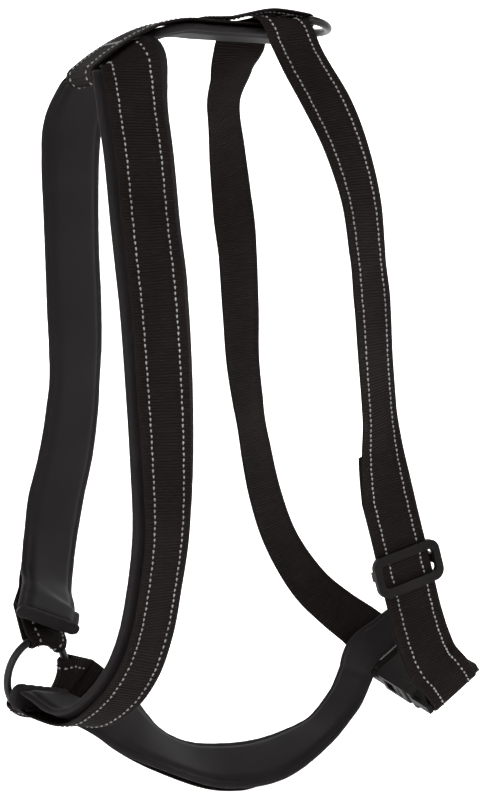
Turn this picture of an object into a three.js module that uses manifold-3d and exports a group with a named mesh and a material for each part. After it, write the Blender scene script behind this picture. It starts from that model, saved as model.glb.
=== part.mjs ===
// Padded Y-front dog walking harness, held open as if worn: millimetres, +X to the head, +Z up.
// The origin lies on the underside of the back pad, above the girth.
import * as THREE from 'three';
import { mergeVertices } from 'three/addons/utils/BufferGeometryUtils.js';
import Module from 'manifold-3d';

const wasm = await Module();
wasm.setup();

// ---- Driving dimensions ----
const GAP = 0.3;
const PAD_GAP = 0.55;
const WEB_WIDTH = 25;
const WEB_THICK = 1.4;
const PAD_WIDTH = 31.5;
const PAD_THICK = 4.5;
const PAD_EDGE = 2.4;
const PAD_TOP_THICK = 1.8;
const PAD_TOP_LENGTH = 22;
const BACK_PAD_WIDTH = 29;
const HEM_LENGTH = 3;
const HEM_THICK = 5.6;
const LOOP_WIDTH = 20;

const RING_RADIUS = 15.5;
const RING_WIRE = 1.65;
const RING_CENTRE = new THREE.Vector3(105, -2, -268);
const RING_NORMAL = new THREE.Vector3(-0.27, 0.955, -0.1).normalize();

const D_WIRE = 1.75;
const D_HALF_WIDTH = 15;
const D_DEPTH = 14.5;
const D_BAR = new THREE.Vector3(-20, 0, 8.25);
const D_DROOP = THREE.MathUtils.degToRad(12);

const BUCKLE_WIDTH = 30;
const BUCKLE_THICK = 9;
const BUCKLE_WALL = 1.7;
const BUCKLE_BAR = 1.6;
const BAR_SPREAD = 45;
const MALE_BAR = new THREE.Vector3(-69, 54, -283.5);
const BUCKLE_AXIS = new THREE.Vector3(0.05, 0.99, -0.12).normalize();
const BUCKLE_ACROSS = new THREE.Vector3(0.8, -0.112, -0.59).normalize();

const SLIDER_WIDTH = 33;
const SLIDER_LENGTH = 18.5;
const SLIDER_BAR = 4.1;
const SLIDER_PLATE = 2.4;
const SLIDER_AT = 33;

// Steps along a strap and columns across it.
const STEP = 7;
const WEB_COLUMNS = 4;
const PAD_COLUMNS = 5;
const STACK = WEB_THICK + GAP;
const BESIDE_WEB = WEB_THICK / 2 + PAD_GAP + PAD_THICK / 2;

// ---- Strap routes: [x, y, z, across x, across y, across z] along each strap's middle ----
const LEFT_NECK = [
  [70.2, 0.6, -10.8, -0.82, 0, 0.57],
  [70.2, 7.5, -10.8, -0.82, 0, 0.57],
  [70.4, 14, -11, -0.82, 0, 0.57],
  [71, 20, -14, -0.88, 0, 0.45],
  [72, 25.5, -23, -0.93, 0, 0.3],
  [73, 29.5, -36, -1, 0, 0.12],
  [73.5, 34, -52, -1, 0, 0.05],
  [73, 38, -80, -1, 0, 0],
  [71, 41, -110, -1, 0, 0],
  [70, 43.5, -143, -1, -0.05, 0],
  [70.5, 47, -174, -1, -0.15, -0.05],
  [71.5, 50, -203, -0.95, -0.28, -0.1],
  [73.5, 49, -227, -0.93, -0.34, -0.18],
  [75.5, 46, -247, -0.92, -0.34, -0.25],
  [80.5, 44, -261.5, -0.92, -0.32, -0.27],
  [87.2, 37, -275, -0.93, -0.3, -0.25],
  [96, 25.5, -284.5, -0.94, -0.28, -0.2],
];
const RIGHT_NECK = [
  [70.2, -0.6, -10.8, 0.82, 0, -0.57],
  [70.2, -7.5, -10.8, 0.82, 0, -0.57],
  [70.4, -13.5, -11, 0.82, 0, -0.57],
  [70.8, -19.5, -14.7, 0.83, 0, -0.55],
  [72.6, -25.5, -23, 0.87, 0.02, -0.46],
  [75, -31, -36, 0.96, 0.16, -0.22],
  [75, -34, -51, 1, 0.24, -0.08],
  [73.5, -37.5, -70, 1, 0.3, 0],
  [72, -40, -92, 1, 0.32, 0],
  [70.5, -41.5, -114, 1, 0.3, 0],
  [69.5, -43, -136, 1, 0.34, 0],
  [70, -45, -158, 1, 0.34, 0],
  [72, -48, -181, 1, 0.28, 0],
  [77, -48.5, -202, 0.98, 0.22, 0.05],
  [83, -43, -222, 0.97, 0.2, 0.15],
  [89, -33, -235, 0.95, 0.2, 0.25],
  [94, -22, -242, 0.93, 0.22, 0.3],
];
const BELLY = [
  [78, -10, -281, 0.1, 0.15, -1],
  [64, -6, -295, 0.1, 0.45, -0.9],
  [48, -3, -307, 0, 0.75, -0.66],
  [30, -1, -317, 0, 0.88, -0.48],
  [12, 0, -323, 0, 0.92, -0.39],
  [-6, 0, -324.5, 0, 0.93, -0.36],
  [-24, -1, -321, -0.02, 0.96, -0.26],
  [-40, -3, -313.5, -0.06, 0.98, -0.12],
  [-51.5, -5, -302.5, -0.08, 0.96, -0.26],
  [-59, -6.2, -287.8, -0.12, 0.9, -0.42],
];
const RIGHT_GIRTH = [
  [-4.5, -0.3, 7.6, 1, 0, 0],
  [-4.5, -8, 7.6, 1, 0, 0],
  [-4.5, -14, 7.2, 1, 0, 0],
  [-4.5, -18.5, 3.5, 1, 0, 0],
  [-4.5, -22.5, -3, 1, 0, 0],
  [-6, -31, -12, 0.93, 0.35, 0],
  [-8.5, -42, -25, 0.87, 0.5, 0.05],
  [-14.5, -50, -46, 0.93, 0.36, 0.03],
  [-20, -55, -68, 0.97, 0.24, 0],
  [-24, -57, -92, 0.97, 0.24, 0],
  [-26, -57.5, -118, 0.96, 0.28, 0],
  [-27, -57, -142, 0.93, 0.36, 0],
  [-30, -57, -164, 0.91, 0.42, 0],
  [-33.5, -56, -186, 0.91, 0.42, 0],
  [-37, -53, -208, 0.92, 0.38, -0.05],
  [-43.5, -46.5, -230, 0.93, 0.35, -0.13],
  [-53, -36, -249, 0.93, 0.26, -0.26],
  [-62, -26, -261, 0.91, 0.18, -0.37],
  [-69, -16, -270, 0.87, 0.08, -0.48],
];
const LEFT_GIRTH = [
  [-4.5, 0.3, 7.6, -1, 0, 0],
  [-4.5, 8, 7.6, -1, 0, 0],
  [-4.5, 14.5, 7.6, -1, 0, 0],
  [-5.5, 19, 3.7, -1, 0, 0],
  [-7, 22.5, -4, -1, 0, 0],
  [-8.5, 28.5, -13, -1, 0, 0.05],
  [-13, 37, -28, -1, 0, 0.1],
  [-17.5, 46, -48, -0.98, -0.15, 0.11],
  [-21, 52, -70, -0.96, -0.26, 0.05],
  [-22.5, 55, -92, -0.95, -0.33, 0],
  [-24, 57, -115, -0.95, -0.33, 0],
  [-25.5, 57.5, -139, -0.93, -0.36, 0],
  [-28.3, 56.2, -160, -0.93, -0.36, 0.03],
  [-31.8, 53.6, -179, -0.95, -0.15, 0.17],
];
// The straight stretch that carries the slider, and the way on to the buckle.
const SLIDER_START = new THREE.Vector3(-36, 52, -196);
const SLIDER_RUN = new THREE.Vector3(-0.26, 0.035, -0.965).normalize();
const STRAIGHT = 58;
const STRAIGHT_ACROSS = [-0.93, 0.08, 0.34];
const TO_BUCKLE = [
  [-54.2, 54.6, -261.5, -0.88, 0.09, 0.42],
  [-58.2, 55.6, -270.5, -0.84, 0.11, 0.53],
];
const BACK = [
  [85, 0, -17.8, 0, -1, 0],
  [74, 0, -9.3, 0, -1, 0],
  [62, 0, -2.5, 0, -1, 0],
  [50, 0, 2.4, 0, -1, 0],
  [38, 0, 5, 0, -1, 0],
  [27, 0, 5.5, 0, -1, 0],
  [18, 0, 5.5, 0, -1, 0],
  [6, 0, 5.5, 0, -1, 0],
  [-6, 0, 5.5, 0, -1, 0],
  [-14, 0, 5.5, 0, -1, 0],
  [-20, 0, 5.5, 0, -1, 0],
];
const BACK_RETURN = [
  [-20, 0, 11, 0, -1, 0],
  [-12, 0, 11.5, 0, -1, 0],
  [-2, 0, 11.7, 0, -1, 0],
  [9, 0, 10.8, 0, -1, 0],
  [19, 0, 9.4, 0, -1, 0],
  [28, 0, 8.6, 0, -1, 0],
];

// ---- Materials ----
const fabric = (color) => new THREE.MeshStandardMaterial({ color, roughness: 0.95, metalness: 0 });
const plain = { webbing: fabric(0x1b1817), neoprene: fabric(0x24282c), thread: fabric(0xb9bbbd) };
const plastic = new THREE.MeshStandardMaterial({ color: 0x141414, roughness: 0.45, metalness: 0 });
const steel = new THREE.MeshStandardMaterial({ color: 0x1c1b1b, roughness: 0.3, metalness: 0.6 });

// ---- Stations along a route: place, travel direction, across direction, outer face direction ----
function station(p, t, a) {
  const along = t.clone().normalize();
  const across = a.clone().addScaledVector(along, -a.dot(along)).normalize();
  return { p: p.clone(), t: along, a: across, n: along.clone().cross(across) };
}

function routeStations(points, step = STEP) {
  const middle = new THREE.CatmullRomCurve3(points.map((q) => new THREE.Vector3(q[0], q[1], q[2])));
  const across = new THREE.CatmullRomCurve3(points.map((q) => new THREE.Vector3(q[3], q[4], q[5])));
  const count = Math.ceil(middle.getLength() / step);
  return Array.from({ length: count + 1 }, (_, i) => {
    const t = middle.getUtoTmapping(i / count);
    return station(middle.getPoint(t), middle.getTangent(t), across.getPoint(t));
  });
}

// A turn of the strap about a bar that lies along its width.
// side -1 turns to the inner face, +1 to the outer face.
function turnStations(from, radius, side, steps = 6, angle = Math.PI) {
  const centre = from.p.clone().addScaledVector(from.n, side * radius);
  return Array.from({ length: steps }, (_, i) => {
    const phi = (angle * (i + 1)) / steps;
    const t = from.t.clone().multiplyScalar(Math.cos(phi)).addScaledVector(from.n, side * Math.sin(phi));
    const n = from.n.clone().multiplyScalar(Math.cos(phi)).addScaledVector(from.t, -side * Math.sin(phi));
    return { p: centre.clone().addScaledVector(n, -side * radius), t, a: from.a.clone(), n };
  });
}

const flipped = (s) => ({ p: s.p, t: s.t.clone().negate(), a: s.a, n: s.n.clone().negate() });
const lifted = (s, offset) => ({ ...s, p: s.p.clone().addScaledVector(s.n, offset) });

// ---- Sheets: a grid of points with face directions, given a thickness ----
function rowAt(s, width, columns, offset = 0) {
  return Array.from({ length: columns + 1 }, (_, j) => {
    const v = j / columns - 0.5;
    return {
      p: s.p.clone().addScaledVector(s.a, v * width).addScaledVector(s.n, offset),
      n: s.n.clone(),
      v,
    };
  });
}

function closedSolid(positions, indices) {
  let volume = 0;
  for (let i = 0; i < indices.length; i += 3) {
    const [a, b, c] = [indices[i], indices[i + 1], indices[i + 2]].map((k) => positions[k]);
    volume += a.dot(b.clone().cross(c)) / 6;
  }
  const order = volume < 0 ? indices.slice().reverse() : indices;
  const geometry = new THREE.BufferGeometry();
  geometry.setAttribute('position', new THREE.Float32BufferAttribute(positions.flatMap((q) => q.toArray()), 3));
  geometry.setIndex(order);
  return geometry;
}

// thicknessAt(v, i) gives the thickness at v, from -0.5 to 0.5 across the strap, in row i.
function sheet(rows, thicknessAt) {
  const columns = rows[0].length;
  const loop = 2 * columns;
  const positions = [];
  for (const row of rows) {
    const halves = row.map((q) => thicknessAt(q.v, rows.indexOf(row)) / 2);
    row.forEach((q, j) => positions.push(q.p.clone().addScaledVector(q.n, halves[j])));
    row.map((q, j) => q.p.clone().addScaledVector(q.n, -halves[j])).reverse().forEach((q) => positions.push(q));
  }
  const indices = [];
  for (let i = 0; i + 1 < rows.length; i++) {
    for (let k = 0; k < loop; k++) {
      const [a, b] = [i * loop + k, i * loop + ((k + 1) % loop)];
      indices.push(a, b, b + loop, a, b + loop, a + loop);
    }
  }
  const last = (rows.length - 1) * loop;
  for (let j = 0; j + 1 < columns; j++) {
    const [a, b, c, d] = [j, j + 1, loop - 2 - j, loop - 1 - j];
    indices.push(a, c, b, a, d, c);
    indices.push(last + a, last + b, last + c, last + a, last + c, last + d);
  }
  return closedSolid(positions, indices);
}

const webSheet = (rows) => sheet(rows, () => WEB_THICK);
const padThickness = (v) => PAD_THICK - (PAD_THICK - PAD_EDGE) * (2 * v) ** 6;
// The neck pads are pressed thin where they pass under the back strap.
const pressed = (distance) => {
  const t = THREE.MathUtils.clamp(distance / PAD_TOP_LENGTH - 0.6, 0, 1);
  return PAD_THICK - (PAD_THICK - PAD_TOP_THICK) * (1 - t * t * (3 - 2 * t));
};
const webRows = (stations, offset = 0) => stations.map((s) => rowAt(s, WEB_WIDTH, WEB_COLUMNS, offset));

// ---- The chest ring and the strap loops on it ----
const ringAcross = new THREE.Vector3(-1, 0, 0)
  .addScaledVector(RING_NORMAL, RING_NORMAL.x)
  .normalize();
const ringUp = RING_NORMAL.clone().cross(ringAcross);
const FOLD = RING_WIRE + GAP + WEB_THICK / 2;
const LEG = 10;
const BESIDE_WIRE = 3;

const degrees = THREE.MathUtils.degToRad;
const radial = (angle) => ringAcross.clone().multiplyScalar(Math.cos(angle)).addScaledVector(ringUp, Math.sin(angle));

// middle: where the loop sits on the ring; tilt: how far the strap leaves the ring's plane.
const LOOPS = {
  rightNeck: { middle: degrees(72), tilt: degrees(-40) },
  belly: { middle: degrees(-22), tilt: 0 },
  leftNeck: { middle: degrees(-107), tilt: degrees(105) },
};

function loopFrame(loop, angle) {
  const out = radial(angle);
  const wire = RING_CENTRE.clone().addScaledVector(out, RING_RADIUS);
  const leg = out.clone().multiplyScalar(Math.cos(loop.tilt)).addScaledVector(RING_NORMAL, Math.sin(loop.tilt));
  const face = out.clone().multiplyScalar(Math.sin(loop.tilt)).addScaledVector(RING_NORMAL, -Math.cos(loop.tilt));
  return { wire, leg, face };
}

// The station where a strap goes over into its ring loop, LEG from the wire.
function legStation(loop, acrossHint) {
  const { wire, leg, face } = loopFrame(loop, loop.middle);
  const along = leg.clone().negate();
  const a = along.clone().cross(face).negate();
  if (a.dot(acrossHint) < 0) a.negate();
  const p = wire.clone().addScaledVector(leg, LEG).addScaledVector(face, FOLD);
  return [...p.toArray(), ...a.toArray()];
}

function ringLoopRows(loop, end) {
  const half = LOOP_WIDTH / 2 / RING_RADIUS;
  const tangent = radial(loop.middle + Math.PI / 2);
  const sense = Math.sign(end.a.dot(tangent));
  const foldRow = (phi) => Array.from({ length: WEB_COLUMNS + 1 }, (_, j) => {
    const v = j / WEB_COLUMNS - 0.5;
    const { wire, leg, face } = loopFrame(loop, loop.middle + sense * v * 2 * half);
    const n = face.clone().multiplyScalar(Math.cos(phi)).addScaledVector(leg, -Math.sin(phi));
    return { p: wire.clone().addScaledVector(n, FOLD), n, v };
  });
  const besideWire = (row) => row.map((q) => {
    const { leg } = loopFrame(loop, loop.middle + sense * q.v * 2 * half);
    return { ...q, p: q.p.clone().addScaledVector(leg, BESIDE_WIRE) };
  });
  const turns = Array.from({ length: 7 }, (_, i) => foldRow((Math.PI * i) / 6));
  const folds = [besideWire(turns[0]), ...turns, besideWire(turns.at(-1))];
  const backRow = rowAt(flipped(end), WEB_WIDTH, WEB_COLUMNS, STACK);
  return [...folds, backRow];
}

function ringStrap(points, loop) {
  const hint = new THREE.Vector3(...points.at(-1).slice(3));
  const joined = [...points, legStation(loop, hint)];
  const stations = routeStations(joined);
  return { stations, rows: [...webRows(stations), ...ringLoopRows(loop, stations.at(-1))] };
}

// How far the pad sits under the webbing: deeper where a folded-back layer lies between them,
// and deepest at the ring, where that layer stands off.
const LIFT_AT_RING = 3;
const eased = (t) => THREE.MathUtils.clamp(t, 0, 1) ** 2 * (3 - 2 * THREE.MathUtils.clamp(t, 0, 1));
function padOffset(distanceToEnd, lift = 0) {
  return -(BESIDE_WEB + STACK * eased(1 - (distanceToEnd - 12) / 20) + lift * eased(1 - distanceToEnd / 16));
}

function padRows(stations, width, offsets, shift = 0) {
  return stations.map((s, i) => rowAt(s, width, PAD_COLUMNS, offsets[i] - shift));
}

// ---- Joins and cuts ----
function solid(geometry) {
  const bare = geometry.clone();
  bare.deleteAttribute('normal');
  bare.deleteAttribute('uv');
  const merged = mergeVertices(bare, 1e-4);
  const index = merged.index ? Uint32Array.from(merged.index.array)
    : Uint32Array.from({ length: merged.attributes.position.count }, (_, i) => i);
  return new wasm.Manifold(new wasm.Mesh({
    numProp: 3, vertProperties: Float32Array.from(merged.attributes.position.array), triVerts: index,
  }));
}

function geometryOf(shape) {
  const mesh = shape.getMesh();
  const geometry = new THREE.BufferGeometry();
  geometry.setAttribute('position', new THREE.Float32BufferAttribute(mesh.vertProperties, 3));
  geometry.setIndex(Array.from(mesh.triVerts));
  return geometry;
}

const box = (x0, x1, y0, y1, z0, z1) => solid(new THREE.BoxGeometry(x1 - x0, y1 - y0, z1 - z0)
  .translate((x0 + x1) / 2, (y0 + y1) / 2, (z0 + z1) / 2));

function roundedRectangle(width, length, radius, Path = THREE.Shape) {
  const [x, y] = [width / 2, length / 2];
  const path = new Path();
  path.moveTo(x, -y + radius);
  path.absarc(x - radius, y - radius, radius, 0, Math.PI / 2);
  path.absarc(-x + radius, y - radius, radius, Math.PI / 2, Math.PI);
  path.absarc(-x + radius, -y + radius, radius, Math.PI, 1.5 * Math.PI);
  path.absarc(x - radius, -y + radius, radius, 1.5 * Math.PI, 2 * Math.PI);
  return path;
}

const extruded = (shape, z0, z1) => new THREE.ExtrudeGeometry(shape, {
  depth: z1 - z0, bevelEnabled: false, curveSegments: 5,
}).translate(0, 0, z0);

const bar = (x, y, z, radius, length) => new THREE.CylinderGeometry(radius, radius, length, 12)
  .rotateZ(Math.PI / 2).translate(x, y, z);

// A bartack: a bar of close stitches across the webbing's outer face.
const TACK_LENGTH = 2.4;
const TACK_WIDTH = 15;
const TACK_THICK = 0.6;
function tack(s) {
  const rows = [-TACK_LENGTH / 2, TACK_LENGTH / 2].map((d) => rowAt(
    { ...s, p: s.p.clone().addScaledVector(s.t, d) }, TACK_WIDTH, 1, (WEB_THICK + TACK_THICK) / 2 + PAD_GAP));
  return sheet(rows, () => TACK_THICK);
}

// ---- Assembly ----
const group = new THREE.Group();
const harness = new THREE.Group();
group.add(harness);

function addPart(name, geometry, material, parent = harness) {
  const mesh = new THREE.Mesh(geometry, material);
  mesh.name = name;
  parent.add(mesh);
  return mesh;
}

// Neck straps: webbing outside, pad inside, a rolled hem at each lower end.
function neckStrap(side, points, loop, padShortBy) {
  const { stations, rows } = ringStrap(points, loop);
  addPart(`${side}_neck_webbing`, webSheet(rows), plain.webbing);
  const spacing = stations[0].p.distanceTo(stations[1].p);
  const thinner = stations.map((_, i) => PAD_THICK - pressed(i * spacing));
  const offsets = stations.map((_, i) => padOffset((stations.length - 1 - i) * spacing, LIFT_AT_RING)
    + thinner[i] / 2);
  const padStations = stations.slice(0, stations.length - padShortBy);
  const pad = padRows(padStations, PAD_WIDTH, offsets);
  addPart(`${side}_neck_pad`, sheet(pad, (v, i) => padThickness(v) - thinner[i] * (1 - (2 * v) ** 6)), plain.neoprene);
  const last = padStations.at(-1);
  const hemShift = (distance) => ({ ...last, p: last.p.clone().addScaledVector(last.t, distance) });
  const hemOffset = offsets[padStations.length - 1] - (HEM_THICK - PAD_THICK) / 2;
  const hem = [GAP, GAP + HEM_LENGTH].map((d) => rowAt(hemShift(d), PAD_WIDTH, 2, hemOffset));
  addPart(`${side}_neck_pad_hem`, sheet(hem, () => HEM_THICK), plain.neoprene);
  return stations;
}

const leftNeck = neckStrap('left', LEFT_NECK, LOOPS.leftNeck, 1);
const rightNeck = neckStrap('right', RIGHT_NECK, LOOPS.rightNeck, 0);
addPart('left_neck_bartack', tack(leftNeck.at(-2)), plain.thread);
addPart('right_neck_bartack', tack(rightNeck.at(-2)), plain.thread);

// Chest ring.
const ringTurn = new THREE.Quaternion().setFromUnitVectors(new THREE.Vector3(0, 0, 1), RING_NORMAL);
const ring = addPart('chest_ring', new THREE.TorusGeometry(RING_RADIUS, RING_WIRE, 10, 48), steel);
ring.position.copy(RING_CENTRE);
ring.quaternion.copy(ringTurn);

// Back strap: folded under the neck straps in front, back over the leash ring's bar behind.
const NECK_WRAP = (2 * WEB_THICK + 2 * PAD_GAP + 3 * GAP + PAD_TOP_THICK) / 2 + 0.5;
const WRAP_LENGTH = 8;
const backStations = routeStations(BACK, 6);
const frontFold = turnStations(flipped(backStations[0]), NECK_WRAP, 1, 6).map(flipped).reverse();
const wrapEnd = { ...frontFold[0], p: frontFold[0].p.clone().addScaledVector(frontFold[0].t, -WRAP_LENGTH) };
const D_FOLD = D_WIRE + GAP + WEB_THICK / 2;
const rearFold = turnStations(backStations.at(-1), D_FOLD, 1);
const returnStations = routeStations(BACK_RETURN).slice(1);
const backWay = [wrapEnd, ...frontFold, ...backStations, ...rearFold, ...returnStations];
addPart('back_webbing', webSheet(webRows(backWay)), plain.webbing);
const PAD_FROM = 6;
const backPadStations = backStations.slice(PAD_FROM);
const backPadRows = backPadStations.map((s) => rowAt(s, BACK_PAD_WIDTH, PAD_COLUMNS, -BESIDE_WEB));
addPart('back_pad', sheet(backPadRows, () => PAD_THICK), plain.neoprene);

// Leash ring: a straight bar in the fold and a round bow behind it.
function wireLoop(points, radius, sides) {
  const positions = [];
  const count = points.length;
  points.forEach((q, i) => {
    const before = points[(i + count - 1) % count];
    const after = points[(i + 1) % count];
    const out = new THREE.Vector2(after.y - before.y, before.x - after.x).normalize();
    for (let k = 0; k < sides; k++) {
      const phi = (2 * Math.PI * k) / sides;
      const side = radius * Math.cos(phi);
      positions.push(new THREE.Vector3(q.x + out.x * side, q.y + out.y * side, radius * Math.sin(phi)));
    }
  });
  const indices = [];
  for (let i = 0; i < count; i++) {
    for (let k = 0; k < sides; k++) {
      const [a, b] = [i * sides + k, i * sides + ((k + 1) % sides)];
      const [c, d] = [((i + 1) % count) * sides + k, ((i + 1) % count) * sides + ((k + 1) % sides)];
      indices.push(a, b, d, a, d, c);
    }
  }
  return closedSolid(positions, indices);
}

function dOutline() {
  const bend = 2.5;
  const shape = new THREE.Shape();
  shape.moveTo(0, -D_HALF_WIDTH + bend);
  shape.lineTo(0, D_HALF_WIDTH - bend);
  shape.absarc(-bend, D_HALF_WIDTH - bend, bend, 0, Math.PI / 2);
  shape.bezierCurveTo(-9, D_HALF_WIDTH, -D_DEPTH, 8.5, -D_DEPTH, 0);
  shape.bezierCurveTo(-D_DEPTH, -8.5, -9, -D_HALF_WIDTH, -bend, -D_HALF_WIDTH);
  shape.absarc(-bend, -D_HALF_WIDTH + bend, bend, -Math.PI / 2, 0);
  return shape.getPoints(8).filter((q, i, all) => i === 0 || q.distanceTo(all[i - 1]) > 0.05).slice(0, -1);
}

const dRing = addPart('leash_d_ring', wireLoop(dOutline(), D_WIRE, 10), steel);
dRing.position.copy(D_BAR);
dRing.rotation.y = -D_DROOP;

// Buckle: its own group, local x across, y along the pull, z towards the dog.
const buckleTurn = new THREE.Matrix4().makeBasis(
  BUCKLE_ACROSS, BUCKLE_AXIS, BUCKLE_ACROSS.clone().cross(BUCKLE_AXIS));
const buckle = new THREE.Group();
buckle.quaternion.setFromRotationMatrix(buckleTurn);
buckle.position.copy(MALE_BAR).addScaledVector(BUCKLE_AXIS, -BAR_SPREAD / 2);
group.add(buckle);

const HALF = BUCKLE_WIDTH / 2;
const Z = BUCKLE_THICK / 2;
const MOUTH = 7;
const REAR = -17.6;
const BAR_Y = BAR_SPREAD / 2;
const INNER_X = HALF - 2.1;
const INNER_Z = Z - BUCKLE_WALL;
const WINDOW = [-12, 1];

function barFrame(y0, y1) {
  const [near, far] = [Math.min(y0, y1), Math.max(y0, y1)];
  return box(-HALF, -INNER_X, near, far, -2, 2).add(box(INNER_X, HALF, near, far, -2, 2));
}

const corner = 3;
const femaleShell = solid(extruded(roundedRectangle(BUCKLE_WIDTH, MOUTH - REAR, corner), -Z, Z)
  .translate(0, (MOUTH + REAR) / 2, 0));
const female = femaleShell
  .subtract(box(-INNER_X, INNER_X, REAR + 4, MOUTH + 1, -INNER_Z, INNER_Z))
  .subtract(box(-HALF - 1, HALF + 1, WINDOW[0], WINDOW[1], -INNER_Z, INNER_Z))
  .add(barFrame(-BAR_Y - BUCKLE_BAR, REAR + 4))
  .add(solid(bar(0, -BAR_Y, 0, BUCKLE_BAR, 2 * INNER_X + 1)));
addPart('buckle_female', geometryOf(female), plastic, buckle);

const BODY_END = 13;
const maleBody = solid(extruded(roundedRectangle(BUCKLE_WIDTH, BODY_END - MOUTH - GAP, 2.4), -Z, Z)
  .translate(0, (BODY_END + MOUTH + GAP) / 2, 0));
const male = maleBody
  .add(box(-3.5, 3.5, -12, MOUTH + 2, -INNER_Z + GAP, INNER_Z - GAP))
  .add(barFrame(BODY_END - 3, BAR_Y + BUCKLE_BAR))
  .add(solid(bar(0, BAR_Y, 0, BUCKLE_BAR, 2 * INNER_X + 1)));
addPart('buckle_male', geometryOf(male), plastic, buckle);

// A prong: a springy arm with a thumb button that shows in the window.
function prongShape(side) {
  const x = INNER_X - GAP;
  const shape = new THREE.Shape();
  shape.moveTo(side * (x - 3.4), MOUTH - GAP);
  shape.lineTo(side * x, MOUTH - GAP);
  shape.lineTo(side * (x - 0.4), WINDOW[1] - GAP);
  shape.quadraticCurveTo(side * (HALF + 1), WINDOW[1] - 1, side * (HALF - 0.4), -5);
  shape.quadraticCurveTo(side * (HALF - 1.2), WINDOW[0] + 1, side * (x - 2), WINDOW[0] - 1.5);
  shape.lineTo(side * (x - 4), WINDOW[0] - 1.5);
  shape.lineTo(side * (x - 4.2), -3);
  return shape;
}

for (const [name, side] of [['buckle_prong_front', 1], ['buckle_prong_rear', -1]]) {
  const arm = extruded(prongShape(side), -INNER_Z + GAP, INNER_Z - GAP);
  addPart(name, geometryOf(solid(arm)), plastic, buckle);
}

// Right girth webbing: over the back, down the right side, round the buckle's fixed bar.
const buckleIn = BUCKLE_ACROSS.clone().cross(BUCKLE_AXIS);
const FEMALE_BAR = MALE_BAR.clone().addScaledVector(BUCKLE_AXIS, -BAR_SPREAD);
const BAR_FOLD = BUCKLE_BAR + GAP + WEB_THICK / 2;
const femaleEnd = FEMALE_BAR.clone().addScaledVector(buckleIn, -BAR_FOLD);
const femaleWay = [12, 5, 0].map((back) => [
  ...femaleEnd.clone().addScaledVector(BUCKLE_AXIS, -back).toArray(), ...BUCKLE_ACROSS.toArray()]);
const rightWay = [...RIGHT_GIRTH, ...femaleWay];
const SLEEVE_STEP = 2;
const CLOSE_STEPS = 18;
const closeStations = routeStations(rightWay, SLEEVE_STEP).slice(-CLOSE_STEPS);
const farStations = routeStations(rightWay).slice(0, -Math.ceil((CLOSE_STEPS * SLEEVE_STEP) / STEP) - 1);
const rightStations = [...farStations, ...closeStations];
const femaleFold = turnStations(rightStations.at(-1), BAR_FOLD, -1);
const RETURN_LENGTH = 3;
const foldEnd = femaleFold.at(-1);
const shortReturn = lifted({ ...foldEnd, p: foldEnd.p.clone().addScaledVector(foldEnd.t, RETURN_LENGTH) }, -1.5);
addPart('right_girth_webbing', webSheet(webRows([...rightStations, ...femaleFold, shortReturn])), plain.webbing);

// Sleeve at the end of the belly strap, which the girth webbing runs through.
const SLEEVE = [8, 26];
const SLEEVE_WIDTH = 27.5;
const SLEEVE_THICK = 4;
const fromBar = (near, far) => closeStations.slice(-1 - far / SLEEVE_STEP, -near / SLEEVE_STEP);
const sleeveStations = fromBar(...SLEEVE);
const hollowStations = fromBar(SLEEVE[0] - SLEEVE_STEP, SLEEVE[1] + SLEEVE_STEP);
const sleeveOuter = solid(sheet(sleeveStations.map((s) => rowAt(s, SLEEVE_WIDTH, 2)), () => SLEEVE_THICK));
const sleeveInner = solid(sheet(hollowStations.map((s) => rowAt(s, WEB_WIDTH + 1, WEB_COLUMNS)), () => WEB_THICK + 0.8));
addPart('belly_sleeve', geometryOf(sleeveOuter.subtract(sleeveInner)), plain.webbing);

// Belly strap: from the sleeve forward to the ring, its pad running on over the sleeve.
const middleOfSleeve = sleeveStations[Math.floor(sleeveStations.length / 2)];
const overSleeve = [
  { ahead: -13, out: -1.9 }, { ahead: -3, out: -1.3 }, { ahead: 8, out: -1.9 },
].map(({ ahead, out }) => {
  const p = middleOfSleeve.p.clone().addScaledVector(middleOfSleeve.a, ahead);
  return [...p.addScaledVector(middleOfSleeve.n, out).toArray(), ...middleOfSleeve.t.clone().negate().toArray()];
});
const bellyForward = BELLY.slice().reverse().map((q) => [q[0], q[1], q[2], -q[3], -q[4], -q[5]]);
const bellyWay = ringStrap([...overSleeve, ...bellyForward], LOOPS.belly);
const bellyStations = bellyWay.stations;
const WEB_SHORT_OF_SLEEVE = 9;
const PAD_PAST_MIDDLE = 36;
const PAD_END_WIDTH = 18.8;
const bellyOffsets = bellyStations.map((_, i) => {
  const fromRing = (bellyStations.length - 1 - i) * STEP;
  return Math.min(padOffset(fromRing), padOffset(i * STEP - PAD_PAST_MIDDLE)) - PAD_GAP;
});
addPart('belly_webbing', webSheet(bellyWay.rows.slice(WEB_SHORT_OF_SLEEVE)), plain.webbing);
const bellyPad = bellyStations.slice(0, -1).map((s, i) => {
  const near = THREE.MathUtils.clamp(1 - (i * STEP - PAD_PAST_MIDDLE) / 20, 0, 1);
  return rowAt(s, PAD_WIDTH - (PAD_WIDTH - PAD_END_WIDTH) * near, PAD_COLUMNS, bellyOffsets[i]);
});
addPart('belly_pad', sheet(bellyPad, padThickness), plain.neoprene);

addPart('belly_bartack', tack(bellyStations.at(-2)), plain.thread);
addPart('right_girth_bartack', tack({ ...foldEnd, p: foldEnd.p.clone().addScaledVector(foldEnd.t, 1.6) }), plain.thread);
addPart('back_bartack_front', tack(backStations[3]), plain.thread);
addPart('back_bartack_rear', tack(flipped(returnStations[1])), plain.thread);

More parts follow.
